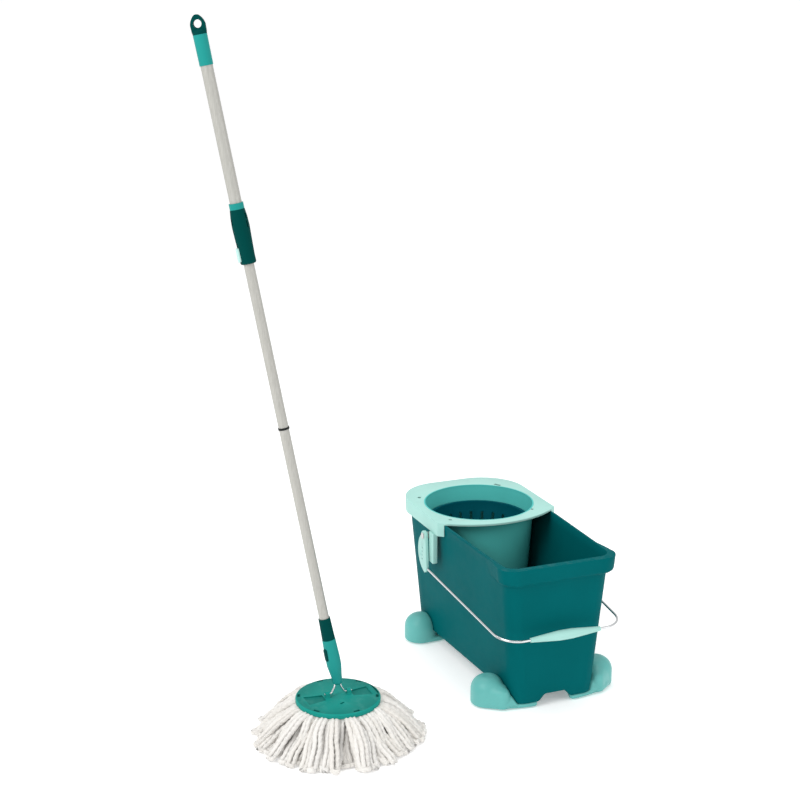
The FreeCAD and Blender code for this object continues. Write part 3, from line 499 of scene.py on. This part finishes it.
def yarn_recipe():
    """Hairpin loops of yarn that start under the disc, fall outwards and lie on the floor.

    Each loop is one curve that goes out and comes back. Run is 0 at its two roots and 1 at its
    tip; Side is -1 on the way out and +1 on the way back."""
    r = Recipe("yarn_fringe", {
        "Loops": 60, "Root Radius": 0.062, "Root Height": 0.070, "Reach": 0.166, "Drop": 0.0,
        "Yarn Radius": 0.0044, "Half Gap": 0.0046, "Belly": 0.010, "Seed": 1, "Phase": 0.0,
        "Bunches": 17.0})
    loops = r.given("Loops")
    spots = r.node("GeometryNodeMeshLine", {"mode": "OFFSET"}, i0=loops).out(0)
    pin = r.node("GeometryNodeCurvePrimitiveLine", {"mode": "POINTS"},
                 start=(0.0, 0.0, 0.0), end=(1.0, 0.0, 0.0)).out(0)
    pin = r.node("GeometryNodeResampleCurve", {"mode": "COUNT"}, curve=pin, count=84).out(0)
    copies = r.node("GeometryNodeInstanceOnPoints", points=spots, instance=pin).out(0)
    number = r.node("GeometryNodeInputIndex").out(0)
    marked = r.node("GeometryNodeStoreNamedAttribute",
                    {"data_type": "INT", "domain": "INSTANCE"},
                    geometry=copies, name="loop", value=number).out(0)
    curves = r.node("GeometryNodeRealizeInstances", i0=marked).out(0)
    loop = r.node("GeometryNodeInputNamedAttribute", {"data_type": "INT"}, name="loop").out(0)
    seed = r.given("Seed")
    along = r.node("GeometryNodeSplineParameter").out("Factor")
    signed = along * 2.0 - 1.0
    run = 1.0 - r.maths("ABSOLUTE", signed)
    side = r.maths("SIGN", signed)

    reach = r.given("Reach") * r.chance(0.83, 1.045, seed + 1, loop)
    spread = r.maths("MULTIPLY", loop, 2 * math.pi) / loops + r.given("Phase")
    jitter = r.chance(-0.065, 0.065, seed + 2, loop)
    angle = spread + jitter
    bunched = r.maths("SINE", angle * r.given("Bunches")) * 0.045
    more = r.maths("SINE", angle * 7.0 + 1.3) * 0.045
    sway = r.chance(-0.13, 0.13, seed + 3, loop)
    eased = r.maths("POWER", run, 1.6)
    angle = angle + (bunched + more + sway) * eased
    wave = r.maths("SINE", run * 7.0 + r.chance(0.0, 6.28, seed + 4, loop))
    wave = wave * r.chance(0.001, 0.0055, seed + 5, loop) * run
    curl = r.maths("SINE", run * 21.0 + r.chance(0.0, 6.28, seed + 12, loop))
    wave = wave + curl * run * 0.0009

    rounding = r.maths("MINIMUM", (1.0 - run) * 14.0, 1.0)
    rounding = r.maths("SQRT", rounding * (2.0 - rounding))
    opening = r.given("Half Gap") * (0.75 + run * r.chance(0.15, 0.55, seed + 6, loop))
    offset = side * opening * rounding + wave
    radius = r.given("Root Radius") + (reach - r.given("Root Radius")) * run

    slope = r.maths("MINIMUM", r.maths("MAXIMUM", (run - 0.10) / 0.84, 0.0), 1.0)
    fall = r.maths("POWER", slope, 1.28)
    top = r.given("Root Height") - r.given("Drop")
    floor = r.given("Yarn Radius") * 1.2 + r.chance(0.0, 0.004, seed + 9, loop)
    bulge = r.maths("SINE", slope * math.pi) * (
        r.given("Belly") + r.chance(-0.007, 0.006, seed + 7, loop))
    height = top + (floor - top) * fall + bulge
    lift = r.maths("SINE", run * 9.0 + r.chance(0.0, 6.28, seed + 8, loop)) * 0.0011 * run
    height = r.maths("MAXIMUM", height + lift, r.given("Yarn Radius") * 1.24)

    cos, sin = r.maths("COSINE", angle), r.maths("SINE", angle)
    place = r.vector(radius * cos - offset * sin, radius * sin + offset * cos, height)
    laid = r.node("GeometryNodeSetPosition", geometry=curves, position=place).out(0)
    length = r.node("GeometryNodeSplineParameter").out("Length")
    thick = 0.82 + run * 0.26 + r.chance(-0.06, 0.10, seed + 10, loop)
    laid = r.node("GeometryNodeSetCurveRadius", curve=laid, radius=thick).out(0)
    twist = length * (2 * math.pi / 0.033) * side
    laid = r.node("GeometryNodeSetCurveTilt", curve=laid, tilt=twist).out(0)
    kept = r.node("GeometryNodeStoreNamedAttribute",
                  {"data_type": "FLOAT_VECTOR", "domain": "POINT"},
                  geometry=laid, name="yarn",
                  value=r.vector(length, 0.0, r.chance(0.0, 1.0, seed + 11, loop))).out(0)

    ring = r.node("GeometryNodeCurvePrimitiveCircle", {"mode": "RADIUS"}, resolution=9,
                  radius=r.given("Yarn Radius")).out(0)
    corner = r.node("GeometryNodeInputIndex").out(0)
    lobe = 1.0 + r.maths("COSINE", corner * (2 * math.pi * 3 / 9)) * 0.13
    where = r.node("GeometryNodeInputPosition").out(0)
    parts = r.node("ShaderNodeSeparateXYZ", vector=where)
    ring = r.node("GeometryNodeSetPosition", geometry=ring, position=r.vector(
        parts.out("X") * lobe, parts.out("Y") * lobe, 0.0)).out(0)
    body = r.node("GeometryNodeCurveToMesh", curve=kept, profile_curve=ring, fill_caps=True)
    smooth = r.node("GeometryNodeSetShadeSmooth", geometry=body.out(0)).out(0)
    moved = r.node("GeometryNodeTransform", geometry=smooth, translation=tuple(MOP)).out(0)
    r.finish(moved, FINISHES["fringe_yarn"])
    return r


YARN = yarn_recipe()
reach = (fringe_high.x - fringe_low.x) / 2
LAYERS = {
    "fringe_under": {"Loops": 50, "Reach": reach - 0.008, "Drop": 0.020, "Belly": -0.004,
                     "Seed": 11, "Phase": 0.05},
    "fringe_middle": {"Loops": 56, "Reach": reach - 0.002, "Drop": 0.010, "Belly": 0.003,
                      "Seed": 31, "Phase": 0.0},
    "fringe_top": {"Loops": 60, "Reach": reach - 0.004, "Drop": 0.0, "Belly": 0.009,
                   "Seed": 57, "Phase": 0.03},
}
for layer, sizes in LAYERS.items():
    strands = YARN.make(layer, **sizes)
    if layer == "fringe_top":
        finish_piece(strands, "mop_head", "fringe_yarn", "fringe")
    else:
        finish_piece(strands, "mop_head", "fringe_yarn")


# ---------------------------------------------------------------- tub

def eased(value, start, stop):
    """0 before start, 1 after stop, smooth between."""
    t = min(max((value - start) / (stop - start), 0.0), 1.0)
    return t * t * (3 - 2 * t)


TUB_TOP, TUB_BASE = 305.0, 26.0
TUB_LOW = {"rear": -262.0, "front": 242.0, "half": 104.0, "nose": 92.0}
TUB_HIGH = {"rear": -275.0, "front": 253.0, "half": 128.0, "nose": 117.0}
REAR_BEND, NOSE_BEND, WALL = 88.0, 30.0, 2.8
BAND_START, BAND_DEEP, BAND_FRONT, BAND_SIDE = 196.0, 36.0, 12.0, 9.0
LEG_IN, LEG_OUT, LEG_DROP = 29.0, 79.0, 14.0


def tub_ring(height, inset):
    """Points round the tub at a height in millimetres, pulled in by inset, with their normals."""
    share = (height - TUB_BASE) / (TUB_TOP - TUB_BASE)
    at = {k: TUB_LOW[k] + (TUB_HIGH[k] - TUB_LOW[k]) * share for k in TUB_LOW}
    corners = (
        (at["rear"] + REAR_BEND, -at["half"] + REAR_BEND, REAR_BEND, 180.0, 26, 60),
        (at["front"] - NOSE_BEND, -at["nose"] + NOSE_BEND, NOSE_BEND, 270.0, 14, 64),
        (at["front"] - NOSE_BEND, at["nose"] - NOSE_BEND, NOSE_BEND, 0.0, 14, 60),
        (at["rear"] + REAR_BEND, at["half"] - REAR_BEND, REAR_BEND, 90.0, 26, 6))
    ring = []
    for k, (x, y, bend, start, steps, run) in enumerate(corners):
        bend = max(bend - inset, 1.0)
        for i in range(steps):
            angle = math.radians(start + 90.0 * i / (steps - 1))
            normal = Vector((math.cos(angle), math.sin(angle), 0.0))
            ring.append((Vector((x, y, height)) + normal * bend, normal))
        x2, y2, bend2, start2 = corners[(k + 1) % 4][:4]
        bend2 = max(bend2 - inset, 1.0)
        angle = math.radians(start2)
        normal = Vector((math.cos(angle), math.sin(angle), 0.0))
        stop = Vector((x2, y2, height)) + normal * bend2
        first = ring[-1][0]
        ring += [(first.lerp(stop, i / run), normal) for i in range(1, run)]
    return ring


def leg_share(point):
    """1 where the front wall runs down as a leg, 0 elsewhere, from a place in millimetres."""
    y = abs(point.y)
    if point.x < 180.0:
        return 0.0
    return eased(y, LEG_IN - 9, LEG_IN + 9) * (1 - eased(y, LEG_OUT, LEG_OUT + 9))


def band_share(point):
    return eased(point.x, BAND_START - 40, BAND_START + 32)


def build_tub():
    """One open shell: underside with two front legs, outer wall, nose band, rim and inside."""
    rows = []
    for inset, lift in ((26.0, None), (22.0, 0.0), (3.0, 0.0), (0.9, 0.7), (0.0, 3.0)):
        row = []
        for point, normal in tub_ring(TUB_BASE, inset):
            drop = 0.0 if lift is None else LEG_DROP * leg_share(point) - lift
            row.append(point - Vector((0, 0, drop)))
        rows.append(row)
    below = TUB_TOP - BAND_DEEP
    outside = [(34.0, 0.0, 0.0), (45.0, 0.0, 0.0)]
    outside += [(60.0 + 20.0 * i, 0.0, 0.0) for i in range(10)]
    outside += [(below - 4, 0.0, 0.0), (below - 1, 0.10, 0.0), (below + 3, 0.75, 0.0),
                (below + 6, 0.95, 0.0), (below + 9, 1.0, 0.0), (TUB_TOP - 9, 1.0, 0.0),
                (TUB_TOP - 7, 1.0, 1.0), (TUB_TOP - 2, 1.0, 1.0)]
    for height, band, bead in outside:
        row = []
        for point, normal in tub_ring(height, 0.0):
            along = BAND_FRONT * abs(normal.x) + BAND_SIDE * abs(normal.y)
            grow = along * band * band_share(point)
            grow = max(grow, 1.6 * bead * eased(point.x, -24.0, -12.0))
            row.append(point + normal * grow)
        rows.append(row)
    for height, pull in ((TUB_TOP - 0.5, 0.5), (TUB_TOP, 2.0)):
        row = []
        for point, normal in tub_ring(height, 0.0):
            along = BAND_FRONT * abs(normal.x) + BAND_SIDE * abs(normal.y)
            grow = max(along * band_share(point), 1.6 * eased(point.x, -24.0, -12.0))
            row.append(point + normal * max(grow - pull, -pull))
        rows.append(row)
    inside = [(TUB_TOP, WALL + 0.1), (TUB_TOP - 0.6, WALL + 0.5), (TUB_TOP - 20.0, WALL)]
    inside += [(265.0 - 24.0 * i, WALL) for i in range(10)]
    floor_level = TUB_BASE + WALL
    inside += [(floor_level + 9, WALL), (floor_level + 4, WALL + 1.2),
               (floor_level + 1, WALL + 5), (floor_level, WALL + 10), (floor_level, 70.0)]
    for height, inset in inside:
        rows.append([point for point, normal in tub_ring(height, inset)])
    count = len(rows[0])
    points = [BUCKET + p * MM for row in rows for p in row]
    faces = []
    for r in range(len(rows) - 1):
        for i in range(count):
            j = (i + 1) % count
            faces.append((r * count + i, r * count + j, (r + 1) * count + j,
                          (r + 1) * count + i))
    faces.append(tuple(reversed(range(count))))
    faces.append(tuple(range((len(rows) - 1) * count, len(rows) * count)))
    piece = add_mesh("tub_moulding", points, faces)
    piece.data.shade_smooth()
    piece.data.set_sharp_from_angle(angle=math.radians(50))
    return finish_piece(piece, "bucket", "tub_plastic", "tub")


build_tub()


# ---------------------------------------------------------------- rounded mouldings

def tub_plug():
    """A closed block that fills the lower part of the tub out to its outer wall."""
    rows = [[BUCKET + point * MM for point, normal in tub_ring(height, 0.6)]
            for height in (12.0, 140.0)]
    count = len(rows[0])
    faces = [(i, (i + 1) % count, count + (i + 1) % count, count + i) for i in range(count)]
    faces += [tuple(reversed(range(count))), tuple(range(count, 2 * count))]
    return add_mesh("tub_plug", rows[0] + rows[1], faces)


def upright(centre, radius, low, high):
    """A closed upright cylinder, in millimetres of the bucket."""
    bar = bmesh.new()
    bmesh.ops.create_cone(bar, cap_ends=True, segments=40, radius1=radius * MM,
                          radius2=radius * MM, depth=(high - low) * MM)
    piece = add_shell("upright", bar)
    piece.data.transform(Matrix.Translation(BUCKET + Vector((*centre, (low + high) / 2)) * MM))
    return piece


DOME_CENTRE, TOE_CENTRE = (184.0, 122.0), (222.0, 106.0)
DOME_RADIUS, DOME_SPRING = 33.4, 26.0
DOME_LEVELS = (4.0, 26.0, 36.0, 45.0, 52.0, 57.0, 59.2)
TOE_RINGS = ((14.0, 4.0), (14.0, 34.0), (11.0, 40.0), (5.0, 43.5))
CAVITY_WIDE, CAVITY_TOP = 30.0, 41.0
STEM_WIDE, STEM_LOW, STEM_TOP = 9.0, 30.0, 55.0
RING_POINTS = 36


def shoe_slope(side):
    """The smooth flank between a front housing's dome and its low toe, outside the tub."""
    dome, toe = [(x, side * y) for x, y in (DOME_CENTRE, TOE_CENTRE)]
    rings = [(dome, math.sqrt(DOME_RADIUS ** 2 - max(z - DOME_SPRING, 0.0) ** 2), z)
             for z in DOME_LEVELS]
    rings += [(toe, radius, z) for radius, z in TOE_RINGS]
    hull = bmesh.new()
    for centre, radius, height in rings:
        for i in range(RING_POINTS):
            angle = 2 * i * math.pi / RING_POINTS
            hull.verts.new(BUCKET + Vector((centre[0] + radius * math.cos(angle),
                                            centre[1] + radius * math.sin(angle),
                                            height)) * MM)
    made = bmesh.ops.convex_hull(hull, input=hull.verts)
    bmesh.ops.delete(hull, geom=list(set(made["geom_interior"] + made["geom_unused"])),
                     context="VERTS")
    piece = add_shell("shoe_slope", hull)
    take_away(piece, [tub_plug(), upright(dome, CAVITY_WIDE, -5.0, CAVITY_TOP),
                      upright(dome, STEM_WIDE, STEM_LOW, STEM_TOP)])
    return piece


HOUSING_CELL, HOUSING_ROUNDS = 0.0016, 16
for name in CASTORS:
    side = -1.0 if name.endswith("right") else 1.0
    flank = [shoe_slope(side)] if name.startswith("front") else []
    melted("castor_housing_" + name, HOUSING_CELL, HOUSING_ROUNDS, flank)


# ---------------------------------------------------------------- collar, disc, ears and grip

# each slot in the collar's top: x and y in the bucket, length, and turn in radians
PLATE_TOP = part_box("collar")[1].z
COLLAR_SLOTS = ((-201, -107, 9, 2.4), (-216, 87, 17, 0.5), (-40, 84, 6, 0.6),
                (-44, -104, 6, -0.5))


def collar_slot_shade(point):
    """Painted shade below the top of the collar, close to its slots."""
    spots = [(BUCKET + Vector((x, y, 0)) * MM).xy for x, y, long, turn in COLLAR_SLOTS]
    near = min((point.xy - spot).length for spot in spots) < 0.012
    return 1.0 if near and point.z < PLATE_TOP - 0.0012 else 0.0


collar = softened("collar", 0.002, [
    block(BUCKET + Vector((x, y, 0)) * MM + Vector((0, 0, PLATE_TOP)),
          (long * MM, 0.007, 0.03), turn) for x, y, long, turn in COLLAR_SLOTS])
paint_shade(collar, collar_slot_shade)

SLOT_COUNT, SLOT_RING, SLOT_TURN = 6, 0.0748, 7.6
SLOT_SIZE, PAD_SIZE = (0.005, 0.0125, 0.006), (0.024, 0.036, 0.007)
NOTCH_SIZE = (0.004, 0.010, 0.008)
PAD_OUT, PAD_HEIGHT, PAD_FLARE = 0.046, 0.0844, 1.5
disc_cuts = [block(MOP + Vector((0, side * PAD_OUT, PAD_HEIGHT)), PAD_SIZE,
                   0.0 if side > 0 else math.pi, PAD_FLARE) for side in (-1, 1)]
disc_cuts.append(block(MOP + Vector((0.034, -0.004, 0.0795)), NOTCH_SIZE, 0.4))
for i in range(SLOT_COUNT):
    angle = math.radians(SLOT_TURN + 360.0 * i / SLOT_COUNT)
    spot = MOP + Vector((SLOT_RING * math.cos(angle), SLOT_RING * math.sin(angle), 0.084))
    disc_cuts.append(block(spot, SLOT_SIZE, angle))
disc = softened("mop_disc", 0.0008, disc_cuts)


def disc_pocket_shade(point):
    """Painted shade: full in the six edge slots, half in the two pads beside the joint."""
    out = (point.xy - MOP.xy).length
    if out > 0.079 or point.z < 0.0795:
        return 0.0
    return min(max((0.0833 - point.z) / 0.002, 0.0), 1.0) * (1.0 if out > 0.0695 else 0.55)


paint_shade(disc, disc_pocket_shade)


DENT_SIZE, DENT_NEAR = (0.0034, 0.005, 0.0038), 0.0045


def dented_ear(name, side):
    """A bail ear with a row of four small dents down its outer face, painted dark inside as shade.
    """
    low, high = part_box(name)
    face = low.y if side < 0 else high.y
    spots = [Vector(((low.x + high.x) / 2, face, low.z + (high.z - low.z) * share))
             for share in (0.30, 0.39, 0.48, 0.57)]
    ear = softened(name, 0.0015, [block(spot, DENT_SIZE) for spot in spots])
    # painted shade inside the dents, away from the ear's outer face
    paint_shade(ear, lambda point: 1.0 if abs(point.y - face) > 0.0018 and min(
        (point - spot).length for spot in spots) < DENT_NEAR else 0.0)


dented_ear("bail_ear_right", -1)
dented_ear("bail_ear_left", 1)

JOINTS = {joint["name"]: joint for joint in frame["record"]["behaviour"]["joints"]}
HANDLE_AXIS = Vector(JOINTS["handle_press"]["axis"]).normalized()
HANDLE_FOOT = Vector(JOINTS["foot_tilt"]["pos_m"])
GRIP_LOW, GRIP_HIGH, GRIP_FLOOR = 0.816, 0.908, 0.0130
# each slot in the grip: the way it faces in degrees, height up the handle, length and width
GRIP_SLOTS = ((40.0, 0.900, 0.010, 0.003), (36.0, 0.885, 0.012, 0.003),
              (-84.0, 0.892, 0.010, 0.005), (-92.0, 0.876, 0.006, 0.004))


def grip_slot(facing, height, long, wide):
    """A block that cuts an upright slot in the lock grip, on the side that faces this way."""
    towards = Vector((math.cos(math.radians(facing)), math.sin(math.radians(facing)), 0.0))
    across = (towards - HANDLE_AXIS * towards.dot(HANDLE_AXIS)).normalized()
    turn = Matrix((across, HANDLE_AXIS.cross(across), HANDLE_AXIS)).transposed().to_4x4()
    piece = block((0.0155, 0, height), (0.006, wide, long))
    piece.data.transform(Matrix.Translation(HANDLE_FOOT) @ turn)
    return piece


grip = softened("lock_grip", 0.001, [grip_slot(*slot) for slot in GRIP_SLOTS])


def grip_well_shade(point):
    """Painted shade in the grip's slots and in the slider's well."""
    reach = point - HANDLE_FOOT
    height = reach.dot(HANDLE_AXIS)
    deep = (reach - HANDLE_AXIS * height).length < GRIP_FLOOR
    return 0.8 if deep and GRIP_LOW < height < GRIP_HIGH else 0.0


paint_shade(grip, grip_well_shade)

EDGES = {"collar_clips": 0.001, "hanging_cap": 0.0022, "lock_slider": 0.0012,
         "release_button": 0.001, "joint_foot": 0.0009, "spin_basket": 0.0006}
for node_name, radius in EDGES.items():
    softened(node_name, radius)


def squeezed_spring():
    """The button's coil spring as its own copy of the CAD sub-part on its body; the share of its
    length kept at full press is worked out but not applied.
    """
    coil = merged_copy("button_spring", "button_spring_coil")
    finish_piece(coil, BODY_OF["button_spring"], SLOT_OF["button_spring"], "button_spring")
    press = JOINTS["button_press"]
    inward = Vector(press["axis"]).normalized()
    ends = [vert.co.dot(inward) for vert in coil.data.vertices]
    free = max(ends) - min(ends)
    keep = (free - press["range_m"][1] - 0.0001) / free
    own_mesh(coil)


squeezed_spring()


# ---------------------------------------------------------------- floor, light and camera

floor = add_mesh("floor", [(-90, -90, 0), (90, -90, 0), (90, 90, 0), (-90, 90, 0)],
                 [(0, 1, 2, 3)])
pale = Finish("floor_pale")
pale.set(base_color=(0.93, 0.93, 0.93), roughness=0.9, specular_ior_level=0.1,
         emission_color=(1.0, 1.0, 1.0), emission_strength=0.27)
floor.data.materials.append(pale.material)

world = bpy.data.worlds.new("studio")
bpy.context.scene.world = world
world.use_nodes = True
world.node_tree.nodes["Background"].inputs["Color"].default_value = (1.0, 1.0, 1.0, 1.0)
world.node_tree.nodes["Background"].inputs["Strength"].default_value = 0.80
bpy.context.scene.view_settings.view_transform = "Standard"


def softbox(name, place, target, power, width, height):
    lamp = bpy.data.lights.new(name, "AREA")
    lamp.shape = "RECTANGLE"
    lamp.size = width
    lamp.size_y = height
    lamp.energy = power
    box = bpy.data.objects.new(name, lamp)
    box.location = place
    box.rotation_euler = (Vector(target) - Vector(place)).to_track_quat("-Z", "Y").to_euler()
    bpy.context.scene.collection.objects.link(box)


MIDDLE = (0.0, 0.0, 0.35)
softbox("light_key", (1.2, -2.6, 2.6), MIDDLE, 54, 1.6, 1.6)
softbox("light_fill", (2.6, 1.8, 1.6), MIDDLE, 14, 2.0, 2.0)
softbox("light_top", (-0.6, 0.3, 3.4), MIDDLE, 32, 2.2, 2.2)

camera = bpy.data.cameras.new("camera")
camera.lens = 74.415
camera.sensor_width = 36.0
viewer = bpy.data.objects.new("camera", camera)
viewer.location = BUCKET + Vector((2.9203, -1.4364, 1.4624))
heading = math.atan2(0.38045, -0.92480)
pitch = math.radians(15.39)
look = Vector((math.cos(heading) * math.cos(pitch), math.sin(heading) * math.cos(pitch),
               -math.sin(pitch)))
viewer.rotation_euler = look.to_track_quat("-Z", "Y").to_euler()
bpy.context.scene.collection.objects.link(viewer)
bpy.context.scene.camera = viewer
